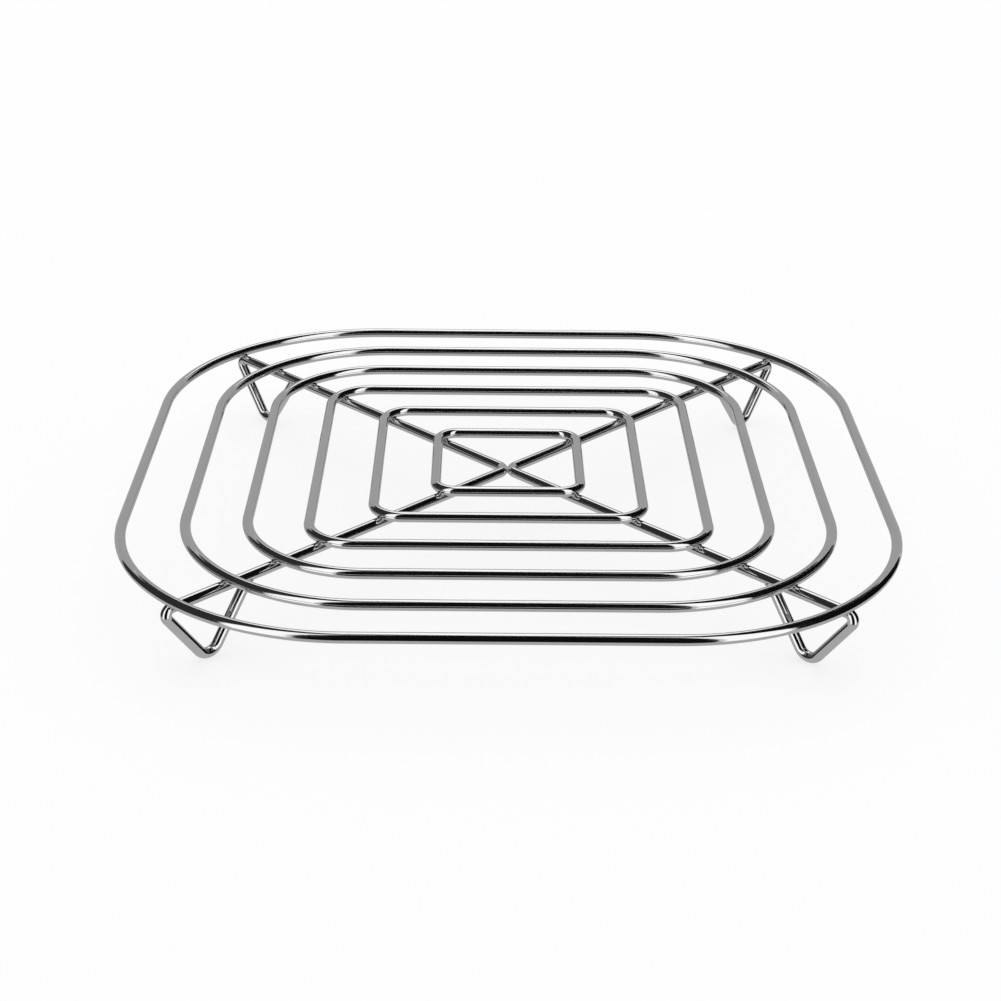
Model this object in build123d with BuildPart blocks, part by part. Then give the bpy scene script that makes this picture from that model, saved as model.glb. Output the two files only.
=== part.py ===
from build123d import *
import os
from math import cos, pi, radians, sin, sqrt, tan

# A wire grill rack that stands in an air fryer's basket. Rounded-square rings of one wire
# lie one inside the other, at one level, on two supports. Each support is one wire, bent at
# a right angle in the middle of the rack, where it is welded to the bend of the other one.
# Each end of a support passes under the outer ring, folds down and back, touches the floor
# in a rounded toe and rises to a weld under the same arm, so it makes a V-shaped foot.
# Millimetres, +Z up. The origin is on the floor under the middle of the rack.

# Overall sizes
OUTER_SIZE = 203.0  # width of the outer ring, outside to outside
INNER_SIZE = 42.0  # width of the inner ring, outside to outside
RACK_HEIGHT = 21.6  # floor to the top of the rings
RING_WIRE = 2.8  # wire diameter of the rings
SUPPORT_WIRE = 2.8  # wire diameter of the supports

# Corner radius of each ring, on the middle of its wire
OUTER_CORNER = 61.0
SECOND_CORNER = 48.0
THIRD_CORNER = 31.5
FOURTH_CORNER = 12.0
FIFTH_CORNER = 8.0
INNER_CORNER = 5.6

# Welds
RING_SET_DOWN = 0.35  # how far the rings sink into the supports
FOOT_SET_DOWN = 0.8  # how far the end of a foot sinks into its support
MIDDLE_FLAT = 0.1  # how deep the supports are pressed flat against each other

# Feet
KNEE_REACH = 0.9  # how far out the fold's wire goes past the outer ring's, middle to middle
KNEE_INSIDE = 0.4  # inside radius of the fold at the end of an arm
FOOT_SLOPE = 54.0  # slope of both limbs of a foot, in degrees from level
TOE_INSIDE = 2.1  # inside radius of the bend that stands on the floor

# Rings from the outside in, spaced evenly between the outer and the inner one
CORNERS = {
    "outer_ring": OUTER_CORNER,
    "second_ring": SECOND_CORNER,
    "third_ring": THIRD_CORNER,
    "fourth_ring": FOURTH_CORNER,
    "fifth_ring": FIFTH_CORNER,
    "inner_ring": INNER_CORNER,
}
outer_half = (OUTER_SIZE - RING_WIRE) / 2
inner_half = (INNER_SIZE - RING_WIRE) / 2
ring_pitch = (outer_half - inner_half) / (len(CORNERS) - 1)

# Levels of the wires' middles above the floor
ring_level = RACK_HEIGHT - RING_WIRE / 2
support_level = ring_level - (RING_WIRE + SUPPORT_WIRE) / 2 + RING_SET_DOWN

# Bends of a foot, and where the outer ring crosses an arm
knee_radius = KNEE_INSIDE + SUPPORT_WIRE / 2
toe_radius = TOE_INSIDE + SUPPORT_WIRE / 2
outer_seat = (outer_half - OUTER_CORNER) * sqrt(2) + OUTER_CORNER
knee_start = outer_seat + KNEE_REACH - knee_radius
straight_end = knee_start - SUPPORT_WIRE

# The bend in the middle of a support, whose arms point at the middle of the rack
middle_radius = (SUPPORT_WIRE / 2 - MIDDLE_FLAT) * (1 + sqrt(2))

# The arms run out to the corners of the square rings, in degrees from +X
left_arms = (135.0, 225.0)
right_arms = (45.0, -45.0)


def along(heading):
    """Level direction at a heading."""
    return Vector(cos(radians(heading)), sin(radians(heading)), 0)


def upright(heading):
    """Upright plane through the middle of the rack, with x out along the heading and y up."""
    return Plane(origin=(0, 0, 0), x_dir=along(heading), z_dir=along(heading - 90))


def make_ring(name, half_width, corner):
    """A closed ring: round wire swept round a rounded square."""
    with BuildPart() as ring:
        with BuildLine(Plane.XY.offset(ring_level)) as loop:
            FilletPolyline(
                (half_width, -half_width),
                (half_width, half_width),
                (-half_width, half_width),
                (-half_width, -half_width),
                radius=corner,
                close=True,
            )
        with BuildSketch(Plane(origin=loop.line @ 0, z_dir=loop.line % 0)):
            Circle(RING_WIRE / 2)
        sweep()
    ring.part.label = name
    return ring.part


def foot_points():
    """Corners of a foot's path before its bends are rounded: start, knee, toe and weld."""
    slope = radians(FOOT_SLOPE)
    knee = knee_start + knee_radius * tan((pi - slope) / 2)
    toe_level = SUPPORT_WIRE / 2 + toe_radius - toe_radius / cos(slope)
    toe = knee - (support_level - toe_level) / tan(slope)
    weld_level = support_level - SUPPORT_WIRE / 2 + FOOT_SET_DOWN
    weld = toe - (weld_level - toe_level) / tan(slope)
    return (straight_end, support_level), (knee, support_level), (toe, toe_level), (weld, weld_level)


def make_support(name, arms, kept_side, rings):
    """A bent wire with a foot at each end, bedded under the rings and pressed against the other one."""
    first, second = (along(arm) * straight_end for arm in arms)
    with BuildPart() as wire:
        with BuildLine(Plane.XY.offset(support_level)) as run:
            FilletPolyline((first.X, first.Y), (0, 0), (second.X, second.Y), radius=middle_radius)
        with BuildSketch(Plane(origin=run.line @ 0, z_dir=run.line % 0)):
            Circle(SUPPORT_WIRE / 2)
        sweep()
        for arm in arms:
            with BuildLine(upright(arm)) as foot:
                FilletPolyline(*foot_points(), radius=(knee_radius, toe_radius))
            with BuildSketch(Plane(origin=foot.line @ 0, z_dir=foot.line % 0)):
                Circle(SUPPORT_WIRE / 2)
            sweep()
        add(rings, mode=Mode.SUBTRACT)
        split(bisect_by=Plane.YZ, keep=kept_side)
    wire.part.label = name
    return wire.part


rings = [
    make_ring(name, outer_half - place * ring_pitch, corner)
    for place, (name, corner) in enumerate(CORNERS.items())
]
supports = [
    make_support("left_support", left_arms, Keep.BOTTOM, rings),
    make_support("right_support", right_arms, Keep.TOP, rings),
]

os.makedirs("parts", exist_ok=True)
for piece in rings + supports:
    export_step(piece, f"parts/{piece.label}.step")
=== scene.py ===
"""Looks of a wire grill rack that stands in an air fryer's basket.

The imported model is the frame: six rounded-square rings at one level, welded on two bent supports
whose ends are V-shaped feet. Each wire is drawn again here with a section round enough for a
mirror finish, the welds get their fillets and beads, and all of it is polished steel.
"""

import logging
from collections.abc import Callable
from dataclasses import dataclass
from enum import Enum
from math import cos, pi, radians, sin, sqrt, tan

import bmesh
import bpy
from mathutils import Matrix, Vector


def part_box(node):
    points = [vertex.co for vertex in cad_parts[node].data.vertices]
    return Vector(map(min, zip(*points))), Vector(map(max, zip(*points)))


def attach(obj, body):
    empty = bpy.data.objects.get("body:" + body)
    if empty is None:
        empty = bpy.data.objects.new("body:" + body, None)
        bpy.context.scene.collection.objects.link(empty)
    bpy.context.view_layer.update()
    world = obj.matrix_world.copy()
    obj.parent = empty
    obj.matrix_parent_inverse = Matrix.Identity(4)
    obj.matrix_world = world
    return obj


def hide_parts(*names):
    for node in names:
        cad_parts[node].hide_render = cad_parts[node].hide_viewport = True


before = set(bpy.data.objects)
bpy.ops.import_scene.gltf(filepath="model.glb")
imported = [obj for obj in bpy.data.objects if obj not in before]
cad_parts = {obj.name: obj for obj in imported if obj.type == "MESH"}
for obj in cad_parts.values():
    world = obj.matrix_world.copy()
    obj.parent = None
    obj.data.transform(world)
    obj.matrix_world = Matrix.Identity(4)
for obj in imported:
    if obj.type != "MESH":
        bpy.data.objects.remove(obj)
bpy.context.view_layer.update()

LOG = logging.getLogger("grill_rack")
MM = 0.001
BODY = "root"
IMAGE_WIDTH = 1001

# Every wire of the rack has this diameter
WIRE = 2.8 * MM
RADIUS = WIRE / 2

# Gives the heights of the upper and the lower of two touching wires at a place near their contact
Faces = Callable[[Vector], tuple[float, float]]

# Points that round each bend of a wire, and sides of the wire's section
BEND_STEPS = 64
WIRE_FACETS = 48


def linear(colour: str) -> tuple[float, float, float, float]:
    """Turns an sRGB hex colour into linear light.

    Args:
        colour: six hex digits after a hash sign.

    Returns:
        Red, green, blue and alpha.
    """
    parts = [int(colour[place:place + 2], 16) / 255 for place in (1, 3, 5)]
    light = [part / 12.92 if part <= 0.04045 else ((part + 0.055) / 1.055) ** 2.4 for part in parts]
    return light[0], light[1], light[2], 1.0


def add_node(
    tree: bpy.types.NodeTree, kind: str, inputs: dict | None = None, **settings: object
) -> bpy.types.Node:
    """Adds a node, with its settings, its input values and its links.

    Args:
        tree: tree that the node joins.
        kind: Blender's name of the node type.
        inputs: a value, or an output to link from, for each input by name or number.
        settings: the node's own properties.

    Returns:
        The new node.
    """
    node = tree.nodes.new(kind)
    for name, setting in settings.items():
        setattr(node, name, setting)
    for key, source in (inputs or {}).items():
        if isinstance(source, bpy.types.NodeSocket):
            tree.links.new(source, node.inputs[key])
        else:
            node.inputs[key].default_value = source
    return node


def add_object(name: str, mesh: bpy.types.Mesh) -> bpy.types.Object:
    """Puts a mesh into the scene as an object at the origin.

    Args:
        name: name of the object.
        mesh: its mesh.

    Returns:
        The new object.
    """
    thing = bpy.data.objects.new(name, mesh)
    bpy.context.scene.collection.objects.link(thing)
    return thing


def start_material(name: str) -> tuple[bpy.types.Material, bpy.types.NodeTree, bpy.types.Node]:
    """Starts a material.

    Args:
        name: name of the material.

    Returns:
        The material, its tree and its surface shader.
    """
    material = bpy.data.materials.new(name)
    material.use_nodes = True
    return material, material.node_tree, material.node_tree.nodes["Principled BSDF"]


def keep_mesh(name: str, shape: bmesh.types.BMesh) -> bpy.types.Mesh:
    """Turns an edited shape into a mesh.

    Args:
        name: name of the mesh.
        shape: the edited shape, which is freed.

    Returns:
        The new mesh.
    """
    mesh = bpy.data.meshes.new(name)
    shape.to_mesh(mesh)
    shape.free()
    return mesh


def start_tree(name: str, sockets: dict[str, str]) -> tuple[bpy.types.NodeTree, bpy.types.Node]:
    """Starts a geometry tree.

    Args:
        name: name of the tree.
        sockets: the socket type of each named input.

    Returns:
        The tree and its input node.
    """
    tree = bpy.data.node_groups.new(name, "GeometryNodeTree")
    tree.interface.new_socket("Geometry", in_out="INPUT", socket_type="NodeSocketGeometry")
    tree.interface.new_socket("Geometry", in_out="OUTPUT", socket_type="NodeSocketGeometry")
    for label, kind in sockets.items():
        tree.interface.new_socket(label, in_out="INPUT", socket_type=kind)
    return tree, add_node(tree, "NodeGroupInput")


def end_tree(
    tree: bpy.types.NodeTree, geometry: bpy.types.NodeSocket, steel: bpy.types.NodeSocket
) -> None:
    """Ends a geometry tree in real, smooth, painted geometry.

    Args:
        tree: the tree to end.
        geometry: output that holds what the tree made.
        steel: output that holds the material.
    """
    real = add_node(tree, "GeometryNodeRealizeInstances", {"Geometry": geometry})
    smooth = add_node(tree, "GeometryNodeSetShadeSmooth", {"Geometry": real.outputs[0]})
    painted = add_node(
        tree, "GeometryNodeSetMaterial", {"Geometry": smooth.outputs[0], "Material": steel}
    )
    add_node(tree, "NodeGroupOutput", {"Geometry": painted.outputs[0]})


def grow(
    name: str, mesh: bpy.types.Mesh, tree: bpy.types.NodeTree, values: dict[str, object]
) -> bpy.types.Object:
    """Runs a geometry tree on a mesh and keeps the outcome as a plain mesh.

    Args:
        name: name of the new piece.
        mesh: what the tree starts from.
        tree: the geometry tree.
        values: a value for each named input.

    Returns:
        The piece, with no modifier.
    """
    start = add_object(f"{name}_start", mesh)
    modifier = start.modifiers.new("grow", "NODES")
    modifier.node_group = tree
    for socket in tree.interface.items_tree:
        if socket.in_out == "INPUT" and socket.name in values:
            modifier[socket.identifier] = values[socket.name]
    graph = bpy.context.evaluated_depsgraph_get()
    plain = bpy.data.meshes.new_from_object(
        start.evaluated_get(graph), preserve_all_data_layers=True, depsgraph=graph
    )
    bpy.data.objects.remove(start)
    plain.name = name
    return add_object(name, plain)


def bent_wire_tree() -> bpy.types.NodeTree:
    """Makes the tree that bends a round wire along a path of corners.

    Returns:
        A tree that rounds each corner by its bend attribute and sweeps the wire's section along,
        with the place round the section kept in the attribute named section.
    """
    tree, given = start_tree(
        "bent_wire",
        {
            "Wire Radius": "NodeSocketFloat",
            "Facets": "NodeSocketInt",
            "Bend Steps": "NodeSocketInt",
            "Steel": "NodeSocketMaterial",
        },
    )
    path = add_node(tree, "GeometryNodeMeshToCurve", {"Mesh": given.outputs["Geometry"]})
    bend = add_node(tree, "GeometryNodeInputNamedAttribute", {"Name": "bend"}, data_type="FLOAT")
    rounded = add_node(
        tree,
        "GeometryNodeFilletCurve",
        {
            "Curve": path.outputs["Curve"],
            "Count": given.outputs["Bend Steps"],
            "Radius": bend.outputs["Attribute"],
        },
        mode="POLY",
    )
    circle = add_node(
        tree, "GeometryNodeCurvePrimitiveCircle", {"Resolution": given.outputs["Facets"], "Radius": 1.0}
    )
    place = add_node(tree, "GeometryNodeInputPosition")
    marked = add_node(
        tree,
        "GeometryNodeStoreNamedAttribute",
        {"Geometry": circle.outputs["Curve"], "Name": "section", "Value": place.outputs["Position"]},
        data_type="FLOAT_VECTOR",
    )
    swept = add_node(
        tree,
        "GeometryNodeCurveToMesh",
        {
            "Curve": rounded.outputs["Curve"],
            "Profile Curve": marked.outputs["Geometry"],
            "Scale": given.outputs["Wire Radius"],
            "Fill Caps": True,
        },
    )
    clean = add_node(
        tree,
        "GeometryNodeRemoveAttribute",
        {"Geometry": swept.outputs["Mesh"], "Name": "bend"},
    )
    end_tree(tree, clean.outputs["Geometry"], given.outputs["Steel"])
    return tree


def repeated_weld_tree() -> bpy.types.NodeTree:
    """Makes the tree that puts one weld on many seats.

    Returns:
        A tree that copies its own geometry to each point of the seats, turned to the point's
        heading attribute and a little larger or smaller from one seat to the next.
    """
    tree, given = start_tree(
        "repeated_weld",
        {
            "Seats": "NodeSocketObject",
            "Spread": "NodeSocketFloat",
            "Seed": "NodeSocketInt",
            "Steel": "NodeSocketMaterial",
        },
    )
    seats = add_node(tree, "GeometryNodeObjectInfo", {"Object": given.outputs["Seats"]})
    heading = add_node(
        tree, "GeometryNodeInputNamedAttribute", {"Name": "heading"}, data_type="FLOAT"
    )
    turn = add_node(
        tree,
        "FunctionNodeAxisAngleToRotation",
        {"Axis": (0.0, 0.0, 1.0), "Angle": heading.outputs["Attribute"]},
    )
    smallest = add_node(
        tree, "ShaderNodeMath", {0: 1.0, 1: given.outputs["Spread"]}, operation="SUBTRACT"
    )
    size = add_node(
        tree,
        "FunctionNodeRandomValue",
        {2: smallest.outputs[0], 3: 1.0, "Seed": given.outputs["Seed"]},
        data_type="FLOAT",
    )
    copies = add_node(
        tree,
        "GeometryNodeInstanceOnPoints",
        {
            "Points": seats.outputs["Geometry"],
            "Instance": given.outputs["Geometry"],
            "Rotation": turn.outputs["Rotation"],
            "Scale": size.outputs[1],
        },
    )
    end_tree(tree, copies.outputs["Instances"], given.outputs["Steel"])
    return tree


def path_mesh(name: str, points: list[Vector], bends: list[float], closed: bool) -> bpy.types.Mesh:
    """Makes the corners that a wire is bent along.

    Args:
        name: name of the mesh.
        points: corners in order.
        bends: bend radius at each corner, on the middle of the wire.
        closed: whether the last corner joins the first.

    Returns:
        A mesh of points and edges, with a bend attribute.
    """
    edges = [(place, place + 1) for place in range(len(points) - 1)]
    if closed:
        edges.append((len(points) - 1, 0))
    mesh = bpy.data.meshes.new(name)
    mesh.from_pydata(points, edges, [])
    mesh.attributes.new("bend", "FLOAT", "POINT").data.foreach_set("value", bends)
    return mesh


def seat_points(name: str, seats: list[tuple[Vector, float]]) -> bpy.types.Object:
    """Makes the points that a weld is repeated on.

    Args:
        name: name of the object.
        seats: place and heading, in radians, of each weld.

    Returns:
        An object of loose points with a heading attribute.
    """
    mesh = bpy.data.meshes.new(name)
    mesh.from_pydata([place for place, _ in seats], [], [])
    headings = [heading for _, heading in seats]
    mesh.attributes.new("heading", "FLOAT", "POINT").data.foreach_set("value", headings)
    return add_object(name, mesh)


def band_mesh(name: str, sections: list[list[Vector]]) -> bpy.types.Mesh:
    """Makes a closed band from sections that go once round a joint.

    Args:
        name: name of the mesh.
        sections: closed outlines of equally many points, in order round the joint.

    Returns:
        A closed mesh with its faces outwards.
    """
    shape = bmesh.new()
    rows = [[shape.verts.new(point) for point in section] for section in sections]
    around, across = len(rows), len(rows[0])
    for place in range(around):
        here, there = rows[place], rows[(place + 1) % around]
        for step in range(across):
            after = (step + 1) % across
            shape.faces.new((here[step], here[after], there[after], there[step]))
    bmesh.ops.recalc_face_normals(shape, faces=shape.faces)
    return keep_mesh(name, shape)


def finish_piece(piece: bpy.types.Object, *nodes: str) -> bpy.types.Object:
    """Hands a finished piece to the frame.

    Args:
        piece: the piece, in place.
        nodes: names of the CAD nodes that it stands for.

    Returns:
        The same piece.
    """
    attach(piece, BODY)
    if nodes:
        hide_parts(*nodes)
    return piece


def bend_wire(
    node: str,
    points: list[Vector],
    bends: list[float],
    closed: bool,
    tree: bpy.types.NodeTree,
    steel: bpy.types.Material,
) -> bpy.types.Object:
    """Bends one wire of the rack.

    Args:
        node: name of the CAD node that the wire stands for.
        points: corners of its path in order.
        bends: bend radius at each corner, on the middle of the wire.
        closed: whether the last corner joins the first.
        tree: the bent wire tree.
        steel: finish of the wire.

    Returns:
        The wire, in place of its node.
    """
    path = path_mesh(f"{node}_path", points, bends, closed)
    values = {"Wire Radius": RADIUS, "Facets": WIRE_FACETS, "Bend Steps": BEND_STEPS, "Steel": steel}
    return finish_piece(grow(f"{node}_wire", path, tree, values), node)


@dataclass(frozen=True)
class PolishedWire:
    """Stainless steel wire, drawn through a die and polished: a bright mirror, faintly lined.

    The die leaves fine lines along the wire, and polishing leaves a slight ripple and a few
    duller patches, so reflections are sharp but not perfect. The lines are drawn coarser than
    real ones, which would be too fine to show.
    """

    name: str = "polished_stainless_wire"
    bright: str = "#D2D2D2"
    dull: str = "#C6C6C6"
    gloss: tuple[float, float] = (0.05, 0.13)
    line_width: float = 0.16 * MM
    line_length: float = 18 * MM
    line_depth: float = 0.0006 * MM
    line_detail: float = 2.0
    ripple_width: float = 2.2 * MM
    ripple_depth: float = 0.004 * MM
    ripple_detail: float = 1.0
    patch_width: float = 14 * MM
    patch_detail: float = 4.0
    dulling: tuple[float, float] = (0.12, 0.42)

    def build(self) -> bpy.types.Material:
        """Makes the material.

        Returns:
            Metal that is patterned by the wire's section and its place in the rack.
        """
        material, tree, shader = start_material(self.name)
        place = add_node(tree, "ShaderNodeTexCoord")
        section = add_node(tree, "ShaderNodeAttribute", attribute_name="section")
        slow = add_node(
            tree,
            "ShaderNodeVectorMath",
            {0: place.outputs["Object"], "Scale": 1 / self.line_length},
            operation="SCALE",
        )
        lined = add_node(
            tree,
            "ShaderNodeVectorMath",
            {0: section.outputs["Vector"], 1: (RADIUS / self.line_width,) * 3, 2: slow.outputs[0]},
            operation="MULTIPLY_ADD",
        )
        lines = add_node(
            tree,
            "ShaderNodeTexNoise",
            {"Vector": lined.outputs[0], "Scale": 1.0, "Detail": self.line_detail},
        )
        ripple = add_node(
            tree,
            "ShaderNodeTexNoise",
            {
                "Vector": place.outputs["Object"],
                "Scale": 1 / self.ripple_width,
                "Detail": self.ripple_detail,
            },
        )
        patches = add_node(
            tree,
            "ShaderNodeTexNoise",
            {
                "Vector": place.outputs["Object"],
                "Scale": 1 / self.patch_width,
                "Detail": self.patch_detail,
            },
        )
        tint = add_node(
            tree,
            "ShaderNodeMix",
            {"Factor": patches.outputs["Fac"], "A": linear(self.bright), "B": linear(self.dull)},
            data_type="RGBA",
        )
        mixed = add_node(
            tree,
            "ShaderNodeMath",
            {0: patches.outputs["Fac"], 1: lines.outputs["Fac"]},
            operation="MULTIPLY",
        )
        rough = add_node(
            tree,
            "ShaderNodeMapRange",
            {
                "Value": mixed.outputs[0],
                "From Min": self.dulling[0],
                "From Max": self.dulling[1],
                "To Min": self.gloss[0],
                "To Max": self.gloss[1],
            },
        )
        waved = add_node(
            tree,
            "ShaderNodeBump",
            {"Strength": 1.0, "Distance": self.ripple_depth, "Height": ripple.outputs["Fac"]},
        )
        grooved = add_node(
            tree,
            "ShaderNodeBump",
            {
                "Strength": 1.0,
                "Distance": self.line_depth,
                "Height": lines.outputs["Fac"],
                "Normal": waved.outputs["Normal"],
            },
        )
        shader.inputs["Metallic"].default_value = 1.0
        tree.links.new(tint.outputs["Result"], shader.inputs["Base Color"])
        tree.links.new(rough.outputs["Result"], shader.inputs["Roughness"])
        tree.links.new(grooved.outputs["Normal"], shader.inputs["Normal"])
        return material


@dataclass(frozen=True)
class WeldSteel:
    """Stainless weld metal, polished with the rack: satin and a shade darker than the wire.

    It set as small beads, and the polishing wheel can't reach into the corners, so it scatters
    more light and shows a fine pebbled skin.
    """

    name: str = "satin_stainless_weld"
    bright: str = "#C8C8C7"
    dull: str = "#A9A9A8"
    gloss: tuple[float, float] = (0.2, 0.36)
    pebble_width: float = 0.35 * MM
    pebble_depth: float = 0.012 * MM
    pebble_detail: float = 3.0

    def build(self) -> bpy.types.Material:
        """Makes the material.

        Returns:
            Metal that is pebbled by its place in the rack.
        """
        material, tree, shader = start_material(self.name)
        place = add_node(tree, "ShaderNodeTexCoord")
        pebbles = add_node(
            tree,
            "ShaderNodeTexNoise",
            {
                "Vector": place.outputs["Object"],
                "Scale": 1 / self.pebble_width,
                "Detail": self.pebble_detail,
            },
        )
        tint = add_node(
            tree,
            "ShaderNodeMix",
            {"Factor": pebbles.outputs["Fac"], "A": linear(self.dull), "B": linear(self.bright)},
            data_type="RGBA",
        )
        rough = add_node(
            tree,
            "ShaderNodeMapRange",
            {"Value": pebbles.outputs["Fac"], "To Min": self.gloss[1], "To Max": self.gloss[0]},
        )
        skin = add_node(
            tree,
            "ShaderNodeBump",
            {"Strength": 1.0, "Distance": self.pebble_depth, "Height": pebbles.outputs["Fac"]},
        )
        shader.inputs["Metallic"].default_value = 1.0
        tree.links.new(tint.outputs["Result"], shader.inputs["Base Color"])
        tree.links.new(rough.outputs["Result"], shader.inputs["Roughness"])
        tree.links.new(skin.outputs["Normal"], shader.inputs["Normal"])
        return material


class Ring(Enum):
    """The rings from the outside in, each with its node and its corner radius."""

    OUTER = ("outer_ring", 61.0 * MM)
    SECOND = ("second_ring", 48.0 * MM)
    THIRD = ("third_ring", 31.5 * MM)
    FOURTH = ("fourth_ring", 12.0 * MM)
    FIFTH = ("fifth_ring", 8.0 * MM)
    INNER = ("inner_ring", 5.6 * MM)

    @property
    def node(self) -> str:
        """Name of the ring's node in the frame."""
        return self.value[0]

    @property
    def corner(self) -> float:
        """Corner radius on the middle of the wire."""
        return self.value[1]


class Support(Enum):
    """The two wires under the rings, each with its node and the headings of its arms from +X."""

    LEFT = ("left_support", (radians(135), radians(225)))
    RIGHT = ("right_support", (radians(45), radians(-45)))

    @property
    def node(self) -> str:
        """Name of the support's node in the frame."""
        return self.value[0]

    @property
    def headings(self) -> tuple[float, float]:
        """Headings of both arms, in radians."""
        return self.value[1]


def outwards(heading: float, distance: float, level: float) -> Vector:
    """Finds a place out from the middle of the rack.

    Args:
        heading: direction from +X, in radians.
        distance: how far out.
        level: height above the floor.

    Returns:
        The point.
    """
    return Vector((distance * cos(heading), distance * sin(heading), level))


@dataclass
class WireRing:
    """One closed ring: a rounded square of wire."""

    ring: Ring
    half_width: float
    level: float

    @classmethod
    def from_frame(cls, ring: Ring) -> "WireRing":
        """Reads a ring's place from the frame.

        Args:
            ring: which ring.

        Returns:
            The ring, measured on the middle of its wire.
        """
        low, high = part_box(ring.node)
        return cls(ring, (high.x - low.x) / 2 - RADIUS, high.z - RADIUS)

    @property
    def reach(self) -> float:
        """Distance from the middle of the rack to where the ring crosses an arm."""
        return (self.half_width - self.ring.corner) * sqrt(2) + self.ring.corner

    def build(self, tree: bpy.types.NodeTree, steel: bpy.types.Material) -> bpy.types.Object:
        """Bends the ring.

        Args:
            tree: the bent wire tree.
            steel: finish of the wire.

        Returns:
            The ring, in place of its node.
        """
        half = self.half_width
        square = ((half, -half), (half, half), (-half, half), (-half, -half))
        corners = [Vector((x, y, self.level)) for x, y in square]
        bends = [self.ring.corner] * len(corners)
        return bend_wire(self.ring.node, corners, bends, True, tree, steel)


@dataclass
class FootedSupport:
    """One support: a wire bent in the middle, whose ends fold down and back into V-shaped feet."""

    support: Support
    level: float
    outer_reach: float
    middle_flat: float = 0.1 * MM
    knee_out: float = 0.9 * MM
    knee: float = 1.8 * MM
    slope: float = radians(54)
    toe: float = 3.5 * MM
    weld_depth: float = 0.8 * MM

    @classmethod
    def from_frame(cls, support: Support, outer: WireRing) -> "FootedSupport":
        """Reads a support's level from the frame.

        Args:
            support: which support.
            outer: the outer ring, which the feet start from.

        Returns:
            The support, measured on the middle of its wire.
        """
        return cls(support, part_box(support.node)[1].z - RADIUS, outer.reach)

    @property
    def middle(self) -> float:
        """Radius of the bend that touches the other support, with arms that point at the rack's middle."""
        return (RADIUS - self.middle_flat) * (1 + sqrt(2))

    @property
    def knee_start(self) -> float:
        """Distance from the middle of the outer ring's wire out to where the knee starts to bend."""
        return self.knee_out - self.knee

    @property
    def knee_reach(self) -> float:
        """Distance from the middle of the rack to the corner of the knee, before it is rounded."""
        return self.outer_reach + self.knee_start + self.knee * tan((pi - self.slope) / 2)

    @property
    def toe_level(self) -> float:
        """Height of the toe's corner, before it is rounded."""
        return RADIUS + self.toe - self.toe / cos(self.slope)

    @property
    def toe_reach(self) -> float:
        """Distance from the middle of the rack to the toe's corner."""
        return self.knee_reach - (self.level - self.toe_level) / tan(self.slope)

    @property
    def weld_level(self) -> float:
        """Height of the middle of the foot's end, inside the arm."""
        return self.level - RADIUS + self.weld_depth

    @property
    def weld_reach(self) -> float:
        """Distance from the middle of the rack to the foot's end."""
        return self.toe_reach - (self.weld_level - self.toe_level) / tan(self.slope)

    def build(self, tree: bpy.types.NodeTree, steel: bpy.types.Material) -> bpy.types.Object:
        """Bends the support and its two feet from one wire.

        Args:
            tree: the bent wire tree.
            steel: finish of the wire.

        Returns:
            The support, in place of its node.
        """
        foot = [
            (self.weld_reach, self.weld_level, 0.0),
            (self.toe_reach, self.toe_level, self.toe),
            (self.knee_reach, self.level, self.knee),
        ]
        first, second = self.support.headings
        points = [outwards(first, reach, level) for reach, level, _ in foot]
        points.append(Vector((0, 0, self.level)))
        points += [outwards(second, reach, level) for reach, level, _ in reversed(foot)]
        bends = [bend for _, _, bend in foot]
        bends = [*bends, self.middle, *reversed(bends)]
        return bend_wire(self.support.node, points, bends, False, tree, steel)


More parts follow.
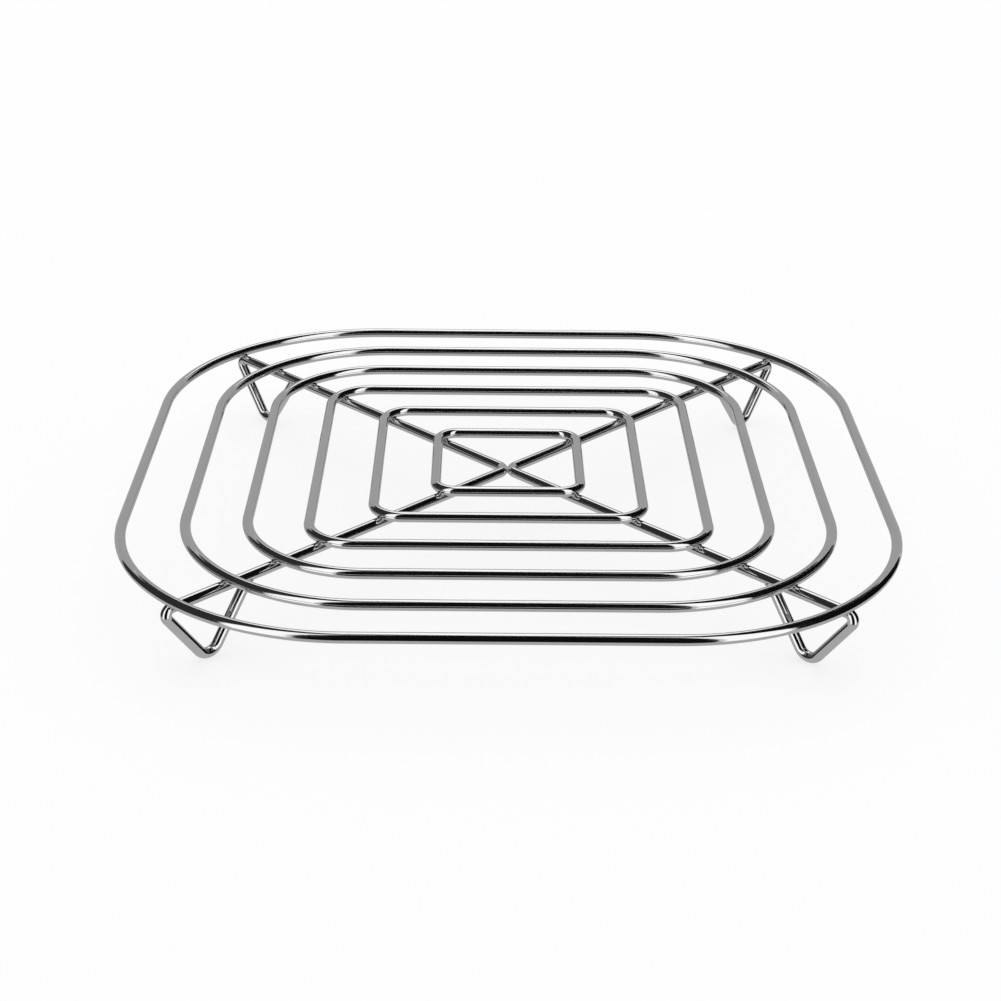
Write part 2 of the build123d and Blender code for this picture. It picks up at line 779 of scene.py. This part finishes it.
@dataclass
class Welds:
    """The welds: fillets where rings cross arms and in the middle, and a bead at the end of each foot.

    The bead's sunk share is the part of its radius that lies inside the foot's limb.
    """

    rings: list[WireRing]
    supports: list[FootedSupport]
    throat: float = 0.55 * MM
    middle_throat: float = 0.7 * MM
    bite: float = 0.04 * MM
    bead: float = 0.3 * MM
    bead_sides: int = 12
    bead_sunk: float = 0.3
    halvings: int = 40
    spread: float = 0.03
    seed: int = 7
    around: int = 40
    across: int = 7

    def top_of_wire(self, along: float, across: float, bend: tuple[float, float] | None) -> float:
        """Measures how high the surface of a lower wire lies over its middle.

        Args:
            along: place along the wire, outwards from the crossing.
            across: place to the side of the wire's middle.
            bend: where the wire starts to bend down, and the bend's radius, or None if it is straight.

        Returns:
            Height of the wire's top there.
        """
        rise = sqrt(max(RADIUS ** 2 - across ** 2, 0.0))
        if bend is None or along <= bend[0]:
            return rise
        past, radius = along - bend[0], bend[1]
        return sqrt(max((radius + rise) ** 2 - past ** 2, 0.0)) - radius

    def fillet_edge(self, gap: float, side: Vector, faces: Faces) -> tuple[Vector, Vector]:
        """Finds where the gap between two wires that touch has a given size.

        Args:
            gap: the size of gap to find.
            side: direction from the middle of the contact, as long as the way to look.
            faces: the faces of the two wires.

        Returns:
            A point on the upper wire, and the point on the lower wire under it.
        """
        near, far = 0.0, 1.0
        for _ in range(self.halvings):
            share = (near + far) / 2
            roof, floor = faces(side * share)
            if roof - floor < gap:
                near = share
            else:
                far = share
        place = side * near
        roof, floor = faces(place)
        up = Vector((0, 0, 1))
        return place + up * roof, place + up * floor

    def fillet(self, name: str, throat: float, reach: float, faces: Faces) -> bpy.types.Mesh:
        """Makes the hollow fillet round the contact of two wires.

        Args:
            name: name of the mesh.
            throat: the gap between the wires where the fillet ends.
            reach: how far from the contact that gap can be.
            faces: the faces of the two wires.

        Returns:
            A closed band round the contact at the origin, with the upper wire on the +z side.
        """
        bite = Vector((0, 0, self.bite))
        sections = []
        for place in range(self.around):
            heading = 2 * pi * place / self.around
            side = Vector((sin(heading), cos(heading), 0.0)) * reach
            root, _ = self.fillet_edge(0.0, side, faces)
            top, bottom = self.fillet_edge(throat, side, faces)
            section = []
            for step in range(self.across):
                part = step / (self.across - 1)
                edge = (top + bite) * (1 - part) ** 2 + (bottom - bite) * part ** 2
                section.append(edge + root * 2 * part * (1 - part))
            section.append(Vector((root.x / 2, root.y / 2, root.z)))
            sections.append(section)
        return band_mesh(name, sections)

    def crossing_fillet(self, drop: float, bend: tuple[float, float] | None = None) -> bpy.types.Mesh:
        """Makes the fillet of a ring on an arm.

        Args:
            drop: height of the ring's middle over the arm's.
            bend: where the arm starts to bend down, and the bend's radius, or None if it is straight.

        Returns:
            A closed band, with the arm outwards along x and its middle at the origin.
        """

        def faces(place: Vector) -> tuple[float, float]:
            """Returns the heights of the ring's underside and of the arm's top."""
            return drop - sqrt(RADIUS ** 2 - place.x ** 2), self.top_of_wire(place.x, place.y, bend)

        return self.fillet("crossing_fillet", self.throat, RADIUS, faces)

    def middle_fillet(self, wire: FootedSupport) -> bpy.types.Mesh:
        """Makes the fillet between the bends of the two supports.

        Args:
            wire: one of the supports.

        Returns:
            A closed band in the middle of the rack.
        """

        def faces(place: Vector) -> tuple[float, float]:
            """Returns how far the right and the left bend are from the upright plane between them."""
            rise = sqrt(max(RADIUS ** 2 - place.y ** 2, 0.0))
            half = RADIUS - wire.middle_flat + wire.middle - sqrt((wire.middle + rise) ** 2 - place.x ** 2)
            return half, -half

        mesh = self.fillet("middle_fillet", self.middle_throat, WIRE, faces)
        # The fillet's x, y and z become the rack's Y, Z and X
        turn = Matrix(((0, 0, 1), (1, 0, 0), (0, 1, 0))).to_4x4()
        mesh.transform(Matrix.Translation((0, 0, wire.level)) @ turn)
        return mesh

    def foot_bead(self, slope: float) -> bpy.types.Mesh:
        """Makes the bead round the end of a foot.

        Args:
            slope: slope of the foot's limb, in radians from level.

        Returns:
            A closed ring of weld, with x out along the arm and the limb's end at the origin.
        """
        across = Vector((sin(slope), 0.0, cos(slope)))
        sideways = Vector((0.0, 1.0, 0.0))
        along = Vector((-cos(slope), 0.0, sin(slope)))
        sections = []
        for place in range(self.around):
            angle = 2 * pi * place / self.around
            out = across * cos(angle) + sideways * sin(angle)
            middle = out * (RADIUS - self.bead * self.bead_sunk)
            section = []
            for step in range(self.bead_sides):
                turn = 2 * pi * step / self.bead_sides
                section.append(middle + (out * cos(turn) + along * sin(turn)) * self.bead)
            sections.append(section)
        return band_mesh("foot_bead", sections)

    def repeat(
        self,
        name: str,
        weld: bpy.types.Mesh,
        seats: list[tuple[Vector, float]],
        tree: bpy.types.NodeTree,
        steel: bpy.types.Material,
    ) -> bpy.types.Object:
        """Puts one weld on many seats.

        Args:
            name: name of the piece.
            weld: the weld at the origin.
            seats: place and heading of each copy.
            tree: the repeated weld tree.
            steel: finish of the weld.

        Returns:
            All the copies as one piece.
        """
        points = seat_points(f"{name}_seats", seats)
        values = {"Seats": points, "Spread": self.spread, "Seed": self.seed, "Steel": steel}
        piece = grow(name, weld, tree, values)
        bpy.data.objects.remove(points)
        return finish_piece(piece)

    def build(self, tree: bpy.types.NodeTree, steel: bpy.types.Material) -> list[bpy.types.Object]:
        """Makes all the welds.

        Args:
            tree: the repeated weld tree.
            steel: finish of the weld.

        Returns:
            Two pieces for each support's crossings, one for the feet and one for the middle.
        """
        pieces = []
        outer, *inner = self.rings
        for wire in self.supports:
            drop = outer.level - wire.level
            fillet = self.crossing_fillet(drop)
            seats = [
                (outwards(heading, ring.reach, wire.level), heading)
                for heading in wire.support.headings
                for ring in inner
            ]
            pieces.append(self.repeat(f"{wire.support.node}_welds", fillet, seats, tree, steel))
            fillet = self.crossing_fillet(drop, (wire.knee_start, wire.knee))
            seats = [
                (outwards(heading, outer.reach, wire.level), heading)
                for heading in wire.support.headings
            ]
            pieces.append(self.repeat(f"{wire.support.node}_knee_welds", fillet, seats, tree, steel))
        ends = [
            (outwards(heading, wire.weld_reach, wire.weld_level), heading)
            for wire in self.supports
            for heading in wire.support.headings
        ]
        bead = self.foot_bead(self.supports[0].slope)
        pieces.append(self.repeat("foot_welds", bead, ends, tree, steel))
        web = add_object("middle_weld", self.middle_fillet(self.supports[0]))
        web.data.materials.append(steel)
        web.data.shade_smooth()
        pieces.append(finish_piece(web))
        return pieces


def background_rays(tree: bpy.types.NodeTree) -> bpy.types.NodeSocket:
    """Tells the rays that show a background from those that light the rack.

    Args:
        tree: material or world tree that the nodes join.

    Returns:
        An output that is 1 to the camera, in mirrors and through glass, and 0 to all other rays.
    """
    path = add_node(tree, "ShaderNodeLightPath")
    shown = path.outputs["Is Camera Ray"]
    for ray in ("Is Glossy Ray", "Is Transmission Ray"):
        either = add_node(
            tree, "ShaderNodeMath", {0: shown, 1: path.outputs[ray]}, operation="MAXIMUM"
        )
        shown = either.outputs[0]
    return shown


class Tone(Enum):
    """How bright a studio card is, where 1 is white."""

    BLACK = 0.006
    DARK = 0.036
    GREY = 0.5
    # Grey of the floor as the metal mirrors it: a painted reflection, darker than the white paper
    TABLE = 0.6
    SOFTBOX = 1.6


@dataclass(frozen=True)
class Card:
    """A curved studio card round the rack, which only shows as a reflection in the metal.

    Azimuth is in degrees from the camera's side towards +X, and elevation in degrees from level.
    """

    name: str
    tone: Tone
    azimuth: tuple[float, float]
    elevation: tuple[float, float]
    distance: float = 3.0
    step: float = 4.0

    def build(self) -> bpy.types.Object:
        """Makes the card.

        Returns:
            A glowing patch of a sphere that only glossy rays can see.
        """
        shape = bmesh.new()
        (left, right), (low, high) = self.azimuth, self.elevation
        columns = max(1, round((right - left) / self.step))
        layers = max(1, round((high - low) / self.step))
        rows = []
        for layer in range(layers + 1):
            tilt = radians(low + (high - low) * layer / layers)
            row = []
            for column in range(columns + 1):
                turn = radians(left + (right - left) * column / columns)
                out = Vector((sin(turn) * cos(tilt), -cos(turn) * cos(tilt), sin(tilt)))
                row.append(shape.verts.new(out * self.distance))
            rows.append(row)
        for here, there in zip(rows, rows[1:]):
            for column in range(columns):
                shape.faces.new((here[column], here[column + 1], there[column + 1], there[column]))
        mesh = keep_mesh(self.name, shape)
        material, tree, _ = start_material(self.name)
        tree.nodes.clear()
        glow = add_node(tree, "ShaderNodeEmission", {"Color": (1, 1, 1, 1), "Strength": self.tone.value})
        add_node(tree, "ShaderNodeOutputMaterial", {"Surface": glow.outputs[0]})
        mesh.materials.append(material)
        card = add_object(self.name, mesh)
        card.visible_camera = False
        card.visible_diffuse = False
        card.visible_shadow = False
        return card


@dataclass
class Studio:
    """The plain studio: white paper on the floor, a white sky, one soft lamp and reflection cards."""

    paper: str = "#FCFCFC"
    paper_half: float = 12.0
    paper_white: float = 0.75
    sky: float = 0.8
    lamp_share: float = 0.2
    lamp_spread: float = radians(60)
    lamp_tilt: float = radians(20)
    cards: tuple[Card, ...] = (
        # The metal mirrors this grey card all round below the horizon, in place of the paper: a painted
        # reflection of the floor
        Card("table_card", Tone.TABLE, (-180, 180), (-90, -18), distance=3.2),
        Card("front_card", Tone.BLACK, (-26, 23), (-30, 88)),
        Card("right_window", Tone.SOFTBOX, (26, 56), (-28, 70)),
        Card("left_window", Tone.SOFTBOX, (-57, -29), (-28, 70)),
        Card("right_card", Tone.BLACK, (58, 134), (-18, 88)),
        Card("left_card", Tone.DARK, (-126, -59), (-18, 88)),
        Card("back_card", Tone.GREY, (135, 234), (-45, 33)),
        Card("back_right_card", Tone.BLACK, (135, 158), (34, 88)),
        Card("top_softbox", Tone.SOFTBOX, (160, 200), (36, 86)),
        Card("back_left_card", Tone.DARK, (202, 234), (34, 88)),
    )

    def lay_floor(self) -> None:
        """Lays white matte paper under the rack, whose shadow the eye sees only in part."""
        half = self.paper_half
        mesh = bpy.data.meshes.new("paper")
        corners = [(-half, -half, 0), (half, -half, 0), (half, half, 0), (-half, half, 0)]
        mesh.from_pydata(corners, [], [(0, 1, 2, 3)])
        material, tree, shader = start_material("white_matte_paper")
        shader.inputs["Base Color"].default_value = linear(self.paper)
        shader.inputs["Roughness"].default_value = 1.0
        shader.inputs["Specular IOR Level"].default_value = 0.0
        share = add_node(
            tree,
            "ShaderNodeMath",
            {0: background_rays(tree), 1: self.paper_white},
            operation="MULTIPLY",
        )
        white = add_node(tree, "ShaderNodeEmission", {"Color": (1, 1, 1, 1), "Strength": 1.0})
        seen = add_node(
            tree,
            "ShaderNodeMixShader",
            {0: share.outputs[0], 1: shader.outputs["BSDF"], 2: white.outputs[0]},
        )
        tree.links.new(seen.outputs[0], tree.nodes["Material Output"].inputs["Surface"])
        mesh.materials.append(material)
        paper = add_object("paper", mesh)
        # The metal doesn't mirror the paper; it mirrors the grey floor card instead, a painted reflection
        # of the floor
        paper.visible_glossy = False

    def hang_sky(self) -> None:
        """Hangs a white sky, which is full white to the eye and in reflections."""
        world = bpy.data.worlds.new("white_sky")
        bpy.context.scene.world = world
        world.use_nodes = True
        tree = world.node_tree
        sky = tree.nodes["Background"]
        sky.inputs["Color"].default_value = (1, 1, 1, 1)
        strength = add_node(
            tree,
            "ShaderNodeMapRange",
            {"Value": background_rays(tree), "To Min": self.sky, "To Max": 1.0},
        )
        tree.links.new(strength.outputs["Result"], sky.inputs["Strength"])

    def hang_lamp(self) -> None:
        """Hangs one broad soft lamp overhead, a little to the back."""
        light = bpy.data.lights.new("overhead_lamp", "SUN")
        light.energy = self.lamp_share * pi
        light.angle = self.lamp_spread
        lamp = bpy.data.objects.new("overhead_lamp", light)
        lamp.matrix_world = Matrix.Rotation(-self.lamp_tilt, 4, "X")
        lamp.visible_glossy = False
        bpy.context.scene.collection.objects.link(lamp)

    def build(self) -> None:
        """Sets up the studio round the rack."""
        self.lay_floor()
        self.hang_sky()
        self.hang_lamp()
        for card in self.cards:
            card.build()
        bpy.context.scene.view_settings.view_transform = "Standard"


@dataclass(frozen=True)
class Viewpoint:
    """The camera, as it stood to the rack: lengths in metres, angles in radians, sensor in mm."""

    focal_pixels: float = 2001.0
    distance: float = 532.8 * MM
    aim: tuple[float, float, float] = (-2.1 * MM, -25.2 * MM, 20.2 * MM)
    pitch: float = radians(25.42)
    yaw: float = radians(-0.61)
    roll: float = radians(0.75)
    sensor: float = 36.0
    near_clip: float = 10 * MM

    def build(self) -> bpy.types.Object:
        """Sets up the camera.

        Returns:
            The scene's camera.
        """
        pitch, yaw, roll = self.pitch, self.yaw, self.roll
        back = Vector((sin(yaw) * cos(pitch), -cos(yaw) * cos(pitch), sin(pitch)))
        level_right = (-back).cross(Vector((0, 0, 1))).normalized()
        level_up = level_right.cross(-back)
        right = level_right * cos(roll) + level_up * sin(roll)
        up = level_up * cos(roll) - level_right * sin(roll)
        lens = bpy.data.cameras.new("camera")
        lens.sensor_width = self.sensor
        lens.lens = self.focal_pixels * self.sensor / IMAGE_WIDTH
        lens.clip_start = self.near_clip
        camera = bpy.data.objects.new("camera", lens)
        place = Matrix.Translation(Vector(self.aim) + back * self.distance)
        camera.matrix_world = place @ Matrix((right, up, back)).transposed().to_4x4()
        bpy.context.scene.collection.objects.link(camera)
        bpy.context.scene.camera = camera
        return camera


def main() -> None:
    """Builds the rack and its studio."""
    logging.basicConfig(level=logging.INFO, format="%(name)s: %(message)s")
    wire_steel = PolishedWire().build()
    weld_steel = WeldSteel().build()
    wire_tree = bent_wire_tree()
    weld_tree = repeated_weld_tree()
    rings = [WireRing.from_frame(ring) for ring in Ring]
    supports = [FootedSupport.from_frame(support, rings[0]) for support in Support]
    pieces = [wire.build(wire_tree, wire_steel) for wire in rings + supports]
    pieces += Welds(rings, supports).build(weld_tree, weld_steel)
    for piece in pieces:
        LOG.info("%s: %d faces", piece.name, len(piece.data.polygons))
    Viewpoint().build()
    Studio().build()


if __name__ == "__main__":
    main()
